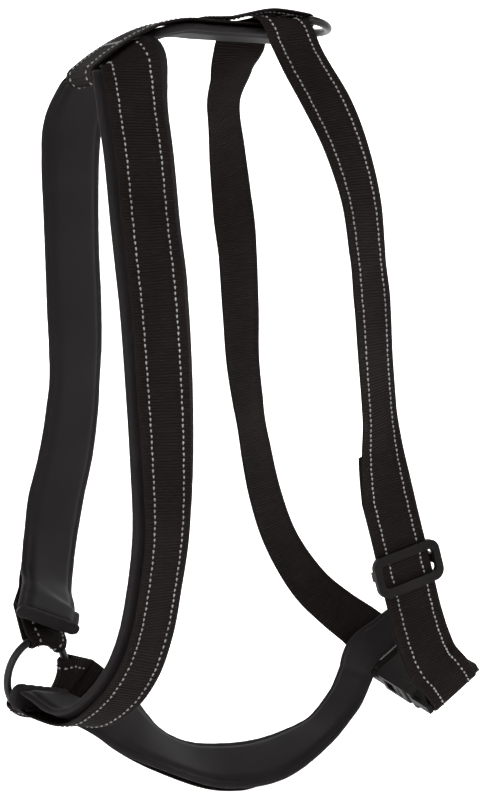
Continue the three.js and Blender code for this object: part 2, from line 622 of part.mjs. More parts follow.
// Left girth webbing: an upper length, and a lower one that carries slider and buckle.
const straightPoint = (s) => SLIDER_START.clone().addScaledVector(SLIDER_RUN, s);
const onStraight = [0, 14.5, 29, 43.5, STRAIGHT].map((s) => [...straightPoint(s).toArray(), ...STRAIGHT_ACROSS]);
const upperPoints = [...LEFT_GIRTH, [...straightPoint(0).toArray(), ...STRAIGHT_ACROSS]];
const leftStations = routeStations(upperPoints);
const SPLIT = leftStations.length - 5;
addPart('left_girth_webbing_upper', webSheet(webRows(leftStations.slice(0, SPLIT + 1))), plain.webbing);

const maleEnd = MALE_BAR.clone().addScaledVector(BUCKLE_AXIS, BAR_FOLD);
const maleAcross = BUCKLE_ACROSS.clone().negate().toArray();
const startOfLower = { ...leftStations[SPLIT] };
startOfLower.p = startOfLower.p.clone().addScaledVector(startOfLower.t, GAP);
const maleWay = [7, 3, 0].map((back) => [
  ...maleEnd.clone().addScaledVector(buckleIn, back).toArray(), ...maleAcross]);
const lowerPoints = [...onStraight, ...TO_BUCKLE, ...maleWay];
const lowerStations = routeStations(lowerPoints);
const downStations = [startOfLower, ...leftStations.slice(SPLIT + 1, -1), ...lowerStations];
const maleFold = turnStations(downStations.at(-1), BAR_FOLD, -1);
const spread = 2 * BAR_FOLD - STACK;
const tailStations = downStations.slice(1, -1).reverse().map((s, i) => {
  const near = Math.max(1 - i / 4, 0);
  return flipped(lifted(s, -(STACK + spread * near * near)));
});
const lowerRows = webRows([...downStations, ...maleFold, ...tailStations]);
addPart('left_girth_webbing_lower', webSheet(lowerRows), plain.webbing);

// Slider: a frame over the webbing and a centre bar under it, joined at both sides.
const sliderAcross = station(new THREE.Vector3(), SLIDER_RUN, new THREE.Vector3(...STRAIGHT_ACROSS));
const slider = new THREE.Group();
slider.quaternion.setFromRotationMatrix(
  new THREE.Matrix4().makeBasis(sliderAcross.a.clone().negate(), sliderAcross.t, sliderAcross.n));
slider.position.copy(straightPoint(SLIDER_AT));
group.add(slider);

const OVER = WEB_THICK / 2 + GAP;
const UNDER = -(WEB_THICK / 2 + STACK + GAP);
const windowLength = SLIDER_LENGTH - 2 * SLIDER_BAR;
const sliderWindow = WEB_WIDTH + 1.2;
const RISER_OUT = sliderWindow / 2 + 1.6;
const RISER_HALF = 2.1;
const frameShape = roundedRectangle(SLIDER_WIDTH, SLIDER_LENGTH, 5);
frameShape.holes.push(roundedRectangle(sliderWindow, windowLength, 2, THREE.Path));
const sliderSolid = solid(extruded(frameShape, OVER, OVER + SLIDER_PLATE))
  .add(box(-RISER_OUT, -sliderWindow / 2, -RISER_HALF, RISER_HALF, UNDER - 1.8, OVER + 1))
  .add(box(sliderWindow / 2, RISER_OUT, -RISER_HALF, RISER_HALF, UNDER - 1.8, OVER + 1))
  .add(box(-RISER_OUT, RISER_OUT, -RISER_HALF, RISER_HALF, UNDER - 1.8, UNDER));
addPart('slider', geometryOf(sliderSolid), plastic, slider);

export default group;
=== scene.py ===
# Padded Y-front dog walking harness: fabric, stitches, hardware, materials, light and camera.
# Lengths are in millimetres until a mesh is made, and every mesh is in metres.
import math

import bpy
import numpy as np
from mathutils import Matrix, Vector


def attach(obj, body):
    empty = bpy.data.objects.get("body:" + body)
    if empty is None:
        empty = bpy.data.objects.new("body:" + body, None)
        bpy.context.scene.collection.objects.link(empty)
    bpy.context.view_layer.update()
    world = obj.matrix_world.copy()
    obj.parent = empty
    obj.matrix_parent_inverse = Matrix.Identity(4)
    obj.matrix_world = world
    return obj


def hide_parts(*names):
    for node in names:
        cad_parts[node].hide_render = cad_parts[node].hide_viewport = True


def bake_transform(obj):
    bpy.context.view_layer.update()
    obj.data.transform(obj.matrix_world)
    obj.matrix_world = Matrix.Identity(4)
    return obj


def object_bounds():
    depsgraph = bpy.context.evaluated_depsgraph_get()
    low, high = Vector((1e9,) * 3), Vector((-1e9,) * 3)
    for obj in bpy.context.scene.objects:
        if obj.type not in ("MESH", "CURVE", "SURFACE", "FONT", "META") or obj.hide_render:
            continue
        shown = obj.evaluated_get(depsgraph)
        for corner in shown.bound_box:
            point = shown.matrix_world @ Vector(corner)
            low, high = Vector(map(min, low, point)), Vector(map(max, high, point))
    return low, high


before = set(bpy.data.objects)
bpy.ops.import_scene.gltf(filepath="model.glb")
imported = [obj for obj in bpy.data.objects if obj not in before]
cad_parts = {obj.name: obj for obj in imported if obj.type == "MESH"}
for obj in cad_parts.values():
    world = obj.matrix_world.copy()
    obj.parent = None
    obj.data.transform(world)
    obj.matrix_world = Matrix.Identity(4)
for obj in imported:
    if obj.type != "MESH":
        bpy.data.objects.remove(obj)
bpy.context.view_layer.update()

METRES = 0.001

# ---- Driving dimensions, as in the CAD ----
GAP = 0.3
PAD_GAP = 0.55
WEB_WIDTH = 25.0
WEB_THICK = 1.4
PAD_WIDTH = 31.5
PAD_THICK = 4.5
PAD_TOP_THICK = 1.8
PAD_TOP_LENGTH = 22.0
BACK_PAD_WIDTH = 29.0
HEM_LENGTH = 3.0
HEM_THICK = 5.6
LOOP_WIDTH = 20.0
STEP = 7.0
STACK = WEB_THICK + GAP
BESIDE_WEB = WEB_THICK / 2 + PAD_GAP + PAD_THICK / 2

RING_RADIUS = 15.5
RING_WIRE = 1.65
RING_CENTRE = np.array([105.0, -2.0, -268.0])
RING_NORMAL = np.array([-0.27, 0.955, -0.1])
D_WIRE = 1.75
D_HALF_WIDTH = 15.0
D_DEPTH = 14.5
D_BAR = np.array([-20.0, 0.0, 8.25])
D_DROOP = math.radians(12)
WRAP_LENGTH = 8.0
BACK_STITCHED = 66.0
RETURN_STITCHED = 52.0
BACK_PAD_PAST = 3.0
# The sleeve lies between these numbers of fine steps from the end of the right girth route.
SLEEVE = (8, 26)
SLEEVE_WIDTH = 27.5
SLEEVE_THICK = 4.0
SLEEVE_ROOM_ACROSS = 0.9
SLEEVE_ROOM_OUT = 0.7
# Places over the sleeve where the belly strap starts: across and out from the sleeve's middle.
OVER_SLEEVE = ((-13, -1.9), (-3, -1.3), (8, -1.9))
OVER_SLEEVE_ALONG = 1.6
BUCKLE_BAR = 1.6
BAR_SPREAD = 45.0
MALE_BAR = np.array([-69.0, 54.0, -283.5])
BUCKLE_AXIS = np.array([0.05, 0.99, -0.12])
BUCKLE_ACROSS = np.array([0.8, -0.112, -0.59])
RETURN_LENGTH = 3.0
TAIL_BACK = 22

# ---- The straps' loops on the chest ring: middle of the loop and tilt of its leg ----
LEG = 10.0
BESIDE_WIRE = 3.0
LIFT_AT_RING = 3.0
LOOPS = {
    "right_neck": (math.radians(72), math.radians(-40)),
    "belly": (math.radians(-22), 0.0),
    "left_neck": (math.radians(-107), math.radians(106)),
}

# ---- The belly strap's rear: distances from its route's start, over the sleeve ----
BELLY_PAD_START = 36
PAD_END_WIDTH = 20.0
PAD_NARROWING = 70.0
BELLY_WEB_START = 85.0
BELLY_WEB_TUCK = 34.0
BELLY_STITCH_START = 115.0

# ---- Fabric detail ----
RIB_PITCH = 1.25
RIB_HEIGHT = 0.42
SELVEDGE = 1.7
ROWS_PER_RIB = 5
STITCH_PITCH = 2.3
STITCH_ROW = 7.75
STITCH_LIFT = 0.05
STITCH_ALONG = np.array([-0.74, -0.56, -0.2, 0.22, 0.55, 0.76])
STITCH_HALF = np.array([0.2, 0.42, 0.46, 0.3, 0.17, 0.06])
STITCH_SIDES = 8
TACK_FROM_END = 8
TACK_WIDTH = 15.0
TACK_STRANDS = 22
SEAM_FROM_EDGE = 3.6
PAD_EDGE_HALF = 1.35
PAD_STEP = 1.5
FINE_STEP = 1.0
COLUMNS = np.linspace(-0.5, 0.5, 9)

# ---- Light and camera, in metres ----
LIT_PLACE = (0.008, 0, -0.157)
CAMERA_PLACE = (0.40626, 0.69018, -0.08701)
CAMERA_TARGET = (0.00778, 0, -0.15674)
SENSOR_HEIGHT = 36.0
LENS = 81.8

# ---- Strap routes: [x, y, z, across x, across y, across z] along each middle ----
# They follow the CAD's routes to within about 4 mm, where the fabric bows a little differently.
LEFT_NECK = [
    [70.2, 0.6, -10.8, -0.82, 0, 0.57],
    [70.2, 7.5, -10.8, -0.82, 0, 0.57],
    [70.4, 14, -11, -0.82, 0, 0.57],
    [71, 20, -14, -0.88, 0, 0.45],
    [72, 25.5, -23, -0.93, 0, 0.3],
    [72.5, 29.8, -36, -1, 0, 0.12],
    [72.5, 34.6, -52, -1, 0, 0.05],
    [71.7, 38.7, -80, -1, 0, 0],
    [69.7, 41.7, -110, -1, 0, 0],
    [68.6, 44.3, -143, -1, -0.05, 0],
    [69, 47.9, -174, -1, -0.15, -0.05],
    [70.4, 50.6, -203, -0.95, -0.28, -0.1],
    [72.9, 49.3, -227, -0.93, -0.34, -0.18],
    [75.5, 46, -247, -0.92, -0.34, -0.25],
    [80.5, 44, -261.5, -0.92, -0.32, -0.27],
    [87.2, 37, -275, -0.93, -0.3, -0.25],
    [96, 25.5, -284.5, -0.94, -0.28, -0.2],
]
RIGHT_NECK = [
    [70.2, -0.6, -10.8, 0.82, 0, -0.57],
    [70.2, -7.5, -10.8, 0.82, 0, -0.57],
    [70.4, -13.5, -11, 0.82, 0, -0.57],
    [70.8, -19.5, -14.7, 0.83, 0, -0.55],
    [72.6, -25.5, -23, 0.87, 0.02, -0.46],
    [75, -31, -36, 0.96, 0.16, -0.22],
    [75, -34, -51, 1, 0.24, -0.08],
    [73.5, -37.5, -70, 1, 0.3, 0],
    [72, -40, -92, 1, 0.32, 0],
    [70.5, -41.5, -114, 1, 0.3, 0],
    [69.5, -43, -136, 1, 0.34, 0],
    [70, -45, -158, 1, 0.34, 0],
    [72, -48, -181, 1, 0.28, 0],
    [77, -48.5, -202, 0.97, 0.27, 0.05],
    [83, -43, -222, 0.92, 0.37, 0.13],
    [89, -33, -235, 0.87, 0.44, 0.2],
    [94, -22, -242, 0.87, 0.4, 0.27],
]
BELLY = [
    [78, -10, -281, 0.1, 0.15, -1],
    [64, -6, -298, 0.2, 0.62, -0.76],
    [48, -3, -311.5, 0.3, 0.88, -0.36],
    [30, -1, -320.4, 0, 0.92, -0.4],
    [12, 0, -323.7, 0, 0.92, -0.39],
    [-6, 0, -323.7, 0, 0.94, -0.32],
    [-24, -1, -319.6, -0.03, 0.97, -0.2],
    [-42, -2, -311.8, -0.06, 0.98, -0.08],
    [-54, -3.5, -302, -0.08, 0.96, -0.26],
    [-61.8, -5, -289, -0.12, 0.9, -0.42],
]
RIGHT_GIRTH = [
    [-4.5, -0.3, 7.6, 1, 0, 0],
    [-4.5, -8, 7.6, 1, 0, 0],
    [-4.5, -14, 7.2, 1, 0, 0],
    [-4.5, -18.5, 3.5, 1, 0, 0],
    [-4.5, -22.5, -3, 1, 0, 0],
    [-6, -31, -12, 0.93, 0.35, 0],
    [-8.5, -42, -25, 0.87, 0.5, 0.05],
    [-14.5, -50, -46, 0.93, 0.36, 0.03],
    [-20, -55, -68, 0.97, 0.24, 0],
    [-24, -57, -92, 0.97, 0.24, 0],
    [-26, -57.5, -118, 0.96, 0.28, 0],
    [-27, -57, -142, 0.93, 0.36, 0],
    [-30, -57, -164, 0.91, 0.42, 0],
    [-33.5, -56, -186, 0.91, 0.42, 0],
    [-37, -53, -208, 0.92, 0.38, -0.05],
    [-42.8, -46.5, -230.8, 0.93, 0.35, -0.13],
    [-52, -36, -250.4, 0.93, 0.26, -0.26],
    [-61.4, -26, -262, 0.91, 0.18, -0.37],
    [-69, -16, -270, 0.87, 0.08, -0.48],
]
LEFT_GIRTH = [
    [-4.5, 0.3, 7.6, -1, 0, 0],
    [-4.5, 8, 7.6, -1, 0, 0],
    [-4.5, 14.5, 7.6, -1, 0, 0],
    [-5.5, 19, 3.7, -1, 0, 0],
    [-7, 22.5, -4, -1, 0, 0],
    [-8.5, 28.5, -13, -1, 0, 0.05],
    [-13, 37, -28, -1, 0, 0.1],
    [-17.5, 46, -48, -0.98, -0.15, 0.11],
    [-21, 52, -70, -0.96, -0.26, 0.05],
    [-22.5, 55, -92, -0.95, -0.33, 0],
    [-24, 57, -115, -0.95, -0.33, 0],
    [-25.5, 57.5, -139, -0.93, -0.36, 0],
    [-28.3, 56.2, -160, -0.93, -0.36, 0.03],
    [-31.8, 53.6, -179, -0.95, -0.15, 0.17],
]
SLIDER_START = np.array([-36.0, 52.0, -196.0])
SLIDER_RUN = np.array([-0.26, 0.035, -0.965])
STRAIGHT = 58.0
STRAIGHT_ACROSS = [-0.93, 0.08, 0.34]
TO_BUCKLE = [
    [-54.2, 54.6, -261.5, -0.88, 0.09, 0.42],
    [-58.2, 55.6, -270.5, -0.84, 0.11, 0.53],
]
BACK = [
    [82.6, 0, -15.9, 0, -1, 0],
    [74, 0, -9.3, 0, -1, 0],
    [62, 0, -2, 0, -1, 0],
    [50, 0, 3.2, 0, -1, 0],
    [38, 0, 5.6, 0, -1, 0],
    [27, 0, 5.5, 0, -1, 0],
    [18, 0, 5.5, 0, -1, 0],
    [6, 0, 5.5, 0, -1, 0],
    [-6, 0, 5.5, 0, -1, 0],
    [-14, 0, 5.5, 0, -1, 0],
    [-20, 0, 5.5, 0, -1, 0],
]
BACK_RETURN = [
    [-20, 0, 11, 0, -1, 0],
    [-12, 0, 11.8, 0, -1, 0],
    [-2, 0, 12, 0, -1, 0],
    [8, 0, 9.9, 0, -1, 0],
    [14.5, 0, 8, 0, -1, 0],
    [20, 0, 7.4, 0, -1, 0],
    [28, 0, 7.4, 0, -1, 0],
]


# ---- Small maths ----
def unit(v):
    return np.asarray(v, float) / np.linalg.norm(v)


def units(v):
    return v / np.maximum(np.linalg.norm(v, axis=-1, keepdims=True), 1e-9)


def smooth(t):
    t = np.clip(t, 0, 1)
    return t * t * (3 - 2 * t)


RING_NORMAL = unit(RING_NORMAL)
BUCKLE_AXIS = unit(BUCKLE_AXIS)
BUCKLE_ACROSS = unit(BUCKLE_ACROSS)
BUCKLE_IN = np.cross(BUCKLE_ACROSS, BUCKLE_AXIS)
SLIDER_RUN = unit(SLIDER_RUN)


def spline(points, u):
    """The point at u, from 0 to 1, of a centripetal Catmull-Rom curve through points."""
    last = len(points) - 1
    k = min(int(u * last), last - 1)
    w = u * last - k
    p1, p2 = points[k], points[k + 1]
    p0 = points[k - 1] if k > 0 else 2 * p1 - p2
    p3 = points[k + 2] if k + 2 <= last else 2 * p2 - p1
    d0, d1, d2 = (np.linalg.norm(b - a) ** 0.5 for a, b in ((p0, p1), (p1, p2), (p2, p3)))
    d1 = d1 if d1 > 1e-4 else 1.0
    d0 = d0 if d0 > 1e-4 else d1
    d2 = d2 if d2 > 1e-4 else d1
    m1 = ((p1 - p0) / d0 - (p2 - p0) / (d0 + d1) + (p2 - p1) / d1) * d1
    m2 = ((p2 - p1) / d1 - (p3 - p1) / (d1 + d2) + (p3 - p2) / d2) * d1
    a = 2 * p1 - 2 * p2 + m1 + m2
    b = -3 * p1 + 3 * p2 - 2 * m1 - m2
    return ((a * w + b) * w + m1) * w + p1


# ---- Stations along a route: place, travel, across, outer face direction ----
class Station:
    def __init__(self, p, t, a):
        self.p = np.array(p, float)
        self.t = unit(t)
        self.a = unit(a - self.t * np.dot(a, self.t))
        self.n = np.cross(self.t, self.a)

    def moved(self, along=0.0, out=0.0, across=0.0):
        return Station(self.p + self.t * along + self.n * out + self.a * across, self.t, self.a)

    def flipped(self):
        return Station(self.p, -self.t, self.a)


def route_stations(points, step=FINE_STEP):
    rows = np.array(points, float)
    middle, across = rows[:, :3], rows[:, 3:]
    table = np.array([spline(middle, u) for u in np.linspace(0, 1, 201)])
    lengths = np.concatenate([[0], np.cumsum(np.linalg.norm(np.diff(table, axis=0), axis=1))])
    count = math.ceil(lengths[-1] / step)
    stations = []
    for i in range(count + 1):
        u = np.interp(lengths[-1] * i / count, lengths, np.linspace(0, 1, 201))
        ahead = spline(middle, min(u + 1e-4, 1)) - spline(middle, max(u - 1e-4, 0))
        stations.append(Station(spline(middle, u), ahead, spline(across, u)))
    return stations


def turn_stations(start, radius, side, steps=18):
    """A half turn about a bar that lies across the strap: side -1 to the inner face, 1 to the outer."""
    centre = start.p + start.n * side * radius
    turned = []
    for i in range(1, steps + 1):
        phi = math.pi * i / steps
        t = start.t * math.cos(phi) + start.n * side * math.sin(phi)
        n = start.n * math.cos(phi) - start.t * side * math.sin(phi)
        turned.append(Station(centre - n * side * radius, t, start.a))
    return turned


# ---- Strap surfaces ----
def row_at(station, width, offset=0.0):
    points = [station.p + station.a * v * width + station.n * offset for v in COLUMNS]
    return np.array(points), np.tile(station.n, (len(COLUMNS), 1))


class Surface:
    """A strap's middle surface, from rows of points with the outer face's direction."""

    def __init__(self, rows):
        self.points = np.array([r[0] for r in rows])
        self.normals = np.array([r[1] for r in rows])
        middle = self.points[:, len(COLUMNS) // 2]
        steps = np.linalg.norm(np.diff(middle, axis=0), axis=1)
        self.distance = np.concatenate([[0], np.cumsum(steps)])
        self.length = self.distance[-1]

    def at(self, s, v):
        """Points and outer directions at distances s (rows) and places v across (columns)."""
        s, v = np.atleast_1d(s), np.atleast_1d(v)
        i = np.clip(np.searchsorted(self.distance, s) - 1, 0, len(self.distance) - 2)
        step = np.maximum(self.distance[i + 1] - self.distance[i], 1e-9)
        w = ((s - self.distance[i]) / step)[:, None, None]
        j = np.clip(((v + 0.5) * (len(COLUMNS) - 1)).astype(int), 0, len(COLUMNS) - 2)
        x = ((v + 0.5) * (len(COLUMNS) - 1) - j)[None, :, None]

        def blend(grid):
            rows = grid[i] * (1 - w) + grid[i + 1] * w
            return rows[:, j] * (1 - x) + rows[:, j + 1] * x

        return blend(self.points), units(blend(self.normals))

    def frame_at(self, s, v):
        """Place, travel, across and outer direction at one point."""
        points, normals = self.at(s, v)
        ahead = self.at(min(s + 0.3, self.length), v)[0] - self.at(max(s - 0.3, 0), v)[0]
        t, n = unit(ahead[0, 0]), normals[0, 0]
        n = unit(n - t * np.dot(n, t))
        return points[0, 0], t, np.cross(n, t), n


def surface_of(stations, width, offsets=0.0):
    offsets = np.broadcast_to(offsets, len(stations))
    return Surface([row_at(s, width, o) for s, o in zip(stations, offsets)])


# ---- The chest ring and the strap loops on it ----
RING_ACROSS = unit(np.array([-1.0, 0, 0]) + RING_NORMAL * RING_NORMAL[0])
RING_UP = np.cross(RING_NORMAL, RING_ACROSS)
FOLD = RING_WIRE + GAP + WEB_THICK / 2


def loop_frame(tilt, angle):
    """Place on the wire, direction of the strap's leg and direction of its outer face."""
    out = RING_ACROSS * math.cos(angle) + RING_UP * math.sin(angle)
    wire = RING_CENTRE + out * RING_RADIUS
    leg = out * math.cos(tilt) + RING_NORMAL * math.sin(tilt)
    face = out * math.sin(tilt) - RING_NORMAL * math.cos(tilt)
    return wire, leg, face


def leg_station(loop, hint):
    """The route point where a strap goes over into its ring loop."""
    middle, tilt = LOOPS[loop]
    wire, leg, face = loop_frame(tilt, middle)
    across = np.cross(leg, face)
    if np.dot(across, hint) < 0:
        across = -across
    place = wire + leg * LEG + face * FOLD
    return [*place, *across]


def ring_loop_rows(loop, end):
    """Rows that leave the strap's end, go round the wire and come back over the strap."""
    middle, tilt = LOOPS[loop]
    half = LOOP_WIDTH / 2 / RING_RADIUS
    tangent = RING_UP * math.cos(middle) - RING_ACROSS * math.sin(middle)
    sense = np.sign(np.dot(end.a, tangent))

    def loop_row(phi, away):
        points, normals = [], []
        for v in COLUMNS:
            wire, leg, face = loop_frame(tilt, middle + sense * v * 2 * half)
            n = face * math.cos(phi) - leg * math.sin(phi)
            points.append(wire + n * FOLD + leg * away)
            normals.append(n)
        return np.array(points), np.array(normals)

    turns = [loop_row(phi, 0) for phi in np.linspace(0, math.pi, 19)]
    back = row_at(end.flipped(), WEB_WIDTH, STACK)
    beside = loop_row(0, BESIDE_WIRE), loop_row(math.pi, BESIDE_WIRE)
    return eased(row_at(end, WEB_WIDTH), beside[0]) + turns + eased(beside[1], back)


def eased(first, last, steps=8):
    """Rows from first to last, both kept, on a smooth way between them."""
    rows = []
    for w in np.linspace(0, 1, steps + 1):
        points = first[0] * (1 - w) + last[0] * w
        rows.append((points, units(first[1] * (1 - w) + last[1] * w)))
    return rows


def ring_strap(points, loop, step=FINE_STEP):
    joined = points + [leg_station(loop, points[-1][3:])]
    stations = route_stations(joined, step)
    rows = [row_at(s, WEB_WIDTH) for s in stations[:-1]] + ring_loop_rows(loop, stations[-1])
    return stations, Surface(rows)


def pad_offset(distance_to_end, lift=0.0):
    """How far the pad's middle lies inside the webbing's: further beside the doubled end."""
    stacked = STACK * smooth(1 - (distance_to_end - 12) / 20)
    return -(BESIDE_WEB + stacked + lift * smooth(1 - distance_to_end / 16))


# ---- Mesh making ----
def make_object(words, points, faces, material):
    name = words.replace(" ", "_") + "_detail"
    mesh = bpy.data.meshes.new(name)
    mesh.from_pydata((np.asarray(points) * METRES).tolist(), [], faces)
    mesh.validate()
    mesh.materials.append(material)
    piece = bpy.data.objects.new(name, mesh)
    bpy.context.scene.collection.objects.link(piece)
    mesh.polygons.foreach_set("use_smooth", [True] * len(mesh.polygons))
    facing_out(mesh)
    return piece


def facing_out(mesh):
    """Turns the faces outward where the closed mesh's volume comes out negative."""
    mesh.calc_loop_triangles()
    places = np.array([v.co for v in mesh.vertices])
    triangles = np.array([t.vertices for t in mesh.loop_triangles])
    a, b, c = (places[triangles[:, k]] for k in range(3))
    if np.einsum("ij,ij->", a, np.cross(b, c)) < 0:
        mesh.flip_normals()


def loft_faces(rows, loop, closed_ends=True, start=0):
    faces = []
    for i in range(rows - 1):
        for k in range(loop):
            a, b = start + i * loop + k, start + i * loop + (k + 1) % loop
            faces.append((a, b, b + loop, a + loop))
    if closed_ends:
        faces.append(tuple(start + k for k in reversed(range(loop))))
        faces.append(tuple(start + (rows - 1) * loop + k for k in range(loop)))
    return faces


def narrowed_rows(points, keep):
    """Each row drawn in towards its middle, to the part of its width that keep says."""
    centre = points.mean(axis=1, keepdims=True)
    return centre + (points - centre) * keep[:, None, None]


def webbing(name, surface, start=0.0, tapered=0.0, tucked=0.0):
    """Ribbed flat webbing: cross ribs on both faces and plain, rounded selvedges.

    The width narrows over the last tapered mm and over the first tucked mm.
    """
    s = np.arange(start, surface.length, RIB_PITCH / ROWS_PER_RIB)
    half_width = WEB_WIDTH / 2
    inner = np.linspace(-half_width + SELVEDGE, half_width - SELVEDGE, 15)
    rim = np.array([0.0, 0.18, 0.7, 1.3])
    upper_x = np.concatenate([-half_width + rim, inner, (half_width - rim)[::-1]])
    rim_height = np.array([0.1, 0.38, 0.62, 0.7])
    upper_z = np.concatenate([rim_height, np.full(len(inner), WEB_THICK / 2), rim_height[::-1]])
    ribbed = np.concatenate([[0, 0.1, 0.3, 0.6], np.ones(len(inner)), [0.6, 0.3, 0.1, 0]])
    tension = 0.1 * np.exp(-(((np.abs(upper_x) - STITCH_ROW) / 1.1) ** 2))
    x = np.concatenate([upper_x, upper_x[::-1]])
    wave = 0.5 - 0.5 * np.cos(2 * math.pi * s / RIB_PITCH)
    ribs_up = wave[:, None] * ribbed[None, :] * RIB_HEIGHT
    ribs_down = (1 - wave)[:, None] * ribbed[None, :] * RIB_HEIGHT
    drift = 0.12 * np.sin(s / 17.0 + len(name)) + 0.07 * np.sin(s / 6.1)
    upper = upper_z + ribs_up - RIB_HEIGHT * ribbed - tension
    lower = -upper_z - ribs_down + RIB_HEIGHT * ribbed + tension * 0.5
    z = np.concatenate([upper, lower[:, ::-1]], axis=1)
    places = np.clip(x / WEB_WIDTH, -0.5, 0.5)
    points, normals = surface.at(s, places)
    along = surface.at(s, [-0.5])[0] - surface.at(s, [0.5])[0]
    points = points + units(along) * drift[:, None, None] * (np.abs(places) ** 3 * 8)[None, :, None]
    if tapered:
        left = np.clip((surface.length - s) / tapered, 0.0, 1.0)
        points = narrowed_rows(points, 0.35 + 0.65 * np.sqrt(left))
    if tucked:
        points = narrowed_rows(points, 0.4 + 0.6 * smooth((s - start) / tucked))
    grid = points + normals * z[:, :, None]
    return make_object(name, grid.reshape(-1, 3), loft_faces(len(s), len(x)), webbing_material)


# ---- Pads ----
def pad_section(count=26):
    """The pad's section: rolled thin edges, a sewn channel beside each, and a thick flat middle."""
    x = np.cos(np.linspace(0, 2 * math.pi, count * 2, endpoint=False))
    x = np.sign(x) * np.abs(x) ** 0.8 * PAD_WIDTH / 2
    upper = np.arange(count * 2) < count
    to_edge = PAD_WIDTH / 2 - np.abs(x)
    roll = np.sqrt(np.clip(1 - (1 - np.clip(to_edge / 2.2, 0, 1)) ** 2, 0, 1))
    seam = np.exp(-(((to_edge - SEAM_FROM_EDGE) / 0.42) ** 2))
    body = smooth((to_edge - SEAM_FROM_EDGE + 0.6) / 3.2)
    half = PAD_EDGE_HALF + (PAD_THICK / 2 - PAD_EDGE_HALF) * body
    depth = half * roll - seam * np.where(upper, 0.2, 0.55)
    return x / PAD_WIDTH, np.where(upper, depth, -depth)


def full_thickness(s):
    return np.full(len(s), PAD_THICK)


def end_shear(s, v, end, shear):
    """How far each point slides along the strap, so that the pad's end lies at a slant."""
    near = smooth(1 - (end - s) / 26.0)
    return near[:, None] * v[None, :] * shear


def pad(name, surface, thickness, pucker=0.14, shear=0.0, cross_seam=None):
    """Neoprene: thickness(s) along the pad, with slight puckers beside the seams."""
    s = np.arange(0, surface.length + 1e-6, PAD_STEP)
    v, z0 = pad_section()
    z = np.repeat(z0[None, :], len(s), axis=0) * (thickness(s) / PAD_THICK)[:, None]
    edge = np.exp(-(((0.5 - np.abs(v)) * PAD_WIDTH - 2.0) / 1.6) ** 2)
    waves = np.sin(s * 2 * math.pi / 9.3) * 0.6 + np.sin(s * 2 * math.pi / 5.7 + 1.1) * 0.4
    z = z + np.sign(z0)[None, :] * waves[:, None] * edge[None, :] * pucker
    slow = np.sin(s / 21.0) * 0.6 + np.sin(s / 12.5 + 2) * 0.4
    middle = smooth((0.5 - np.abs(v)) * 2.2)
    z = z + np.where(z0 < 0, 1, 0)[None, :] * slow[:, None] * middle[None, :] * 0.16
    if cross_seam is not None:
        z = z * (1 - 0.3 * np.exp(-(((s - cross_seam) / 1.1) ** 2)))[:, None]
    ends = np.minimum(s - s[0], s[-1] - s)
    z = z * (0.35 + 0.65 * np.sqrt(np.clip(ends / 2.2, 0, 1)))[:, None]
    points, normals = surface.at(s, v)
    last = surface.at([surface.length - 0.5, surface.length], [0.0])[0]
    slide = end_shear(s, v, surface.length, shear)
    grid = points + normals * z[:, :, None] + unit(last[1, 0] - last[0, 0]) * slide[:, :, None]
    return make_object(name, grid.reshape(-1, 3), loft_faces(len(s), len(v)), neoprene_material)


# ---- Stitches ----
def add_stitch(points, faces, place, t, a, n, scale, high=0.36):
    """One stitch: a small drop of thread along t, lying across a and standing out along n."""
    start = len(points)
    for along, half in zip(STITCH_ALONG * scale, STITCH_HALF * scale):
        for k in range(STITCH_SIDES):
            angle = 2 * math.pi * k / STITCH_SIDES
            side, lift = math.cos(angle) * half, math.sin(angle) * half * high / 0.46
            points.append(place + t * along + a * side + n * lift)
    faces.extend(loft_faces(len(STITCH_ALONG), STITCH_SIDES, start=start))


def stitches(name, surface, start, end, pitch=STITCH_PITCH):
    """Two rows of stitches on the webbing's outer face, from start to end along it."""
    points, faces = [], []
    for row_number, x in enumerate((-STITCH_ROW, STITCH_ROW)):
        for number, s in enumerate(np.arange(start + 0.6 * row_number, end, pitch)):
            place, t, a, n = surface.frame_at(s, x / WEB_WIDTH)
            sway = 0.12 * math.sin(number * 1.7 + row_number)
            place = place + n * (WEB_THICK / 2 + STITCH_LIFT) + a * sway
            add_stitch(points, faces, place, t, a, n, 0.97 + 0.06 * math.sin(number * 2.3))
    return make_object(name, points, faces, thread_material)


def bartack(name, station):
    """A bar of close stitches laid along the strap, side by side."""
    points, faces = [], []
    for k in range(TACK_STRANDS):
        x = (k / (TACK_STRANDS - 1) - 0.5) * TACK_WIDTH
        lean = 0.22 * (1 if k % 2 else -1)
        t = unit(station.t + station.a * lean)
        place = station.p + station.a * x + station.n * (WEB_THICK / 2 + 0.1)
        a = np.cross(station.n, t)
        add_stitch(points, faces, place, t, a * 0.45, station.n, 0.95, 0.3)
    return make_object(name, points, faces, thread_material)


# ---- Materials ----
def node_material(name, roughness, sheen=0.0, coat=0.0, specular=0.5):
    material = bpy.data.materials.new(name)
    material.use_nodes = True
    shader = material.node_tree.nodes["Principled BSDF"]
    shader.inputs["Roughness"].default_value = roughness
    shader.inputs["Sheen Weight"].default_value = sheen
    shader.inputs["Sheen Roughness"].default_value = 0.45
    shader.inputs["Coat Weight"].default_value = coat
    shader.inputs["Coat Roughness"].default_value = 0.3
    shader.inputs["Specular IOR Level"].default_value = specular
    return material, material.node_tree, shader


def noise(tree, scale, detail=3.0):
    texture = tree.nodes.new("ShaderNodeTexNoise")
    texture.inputs["Scale"].default_value = scale
    texture.inputs["Detail"].default_value = detail
    place = tree.nodes.new("ShaderNodeTexCoord")
    tree.links.new(place.outputs["Object"], texture.inputs["Vector"])
    return texture


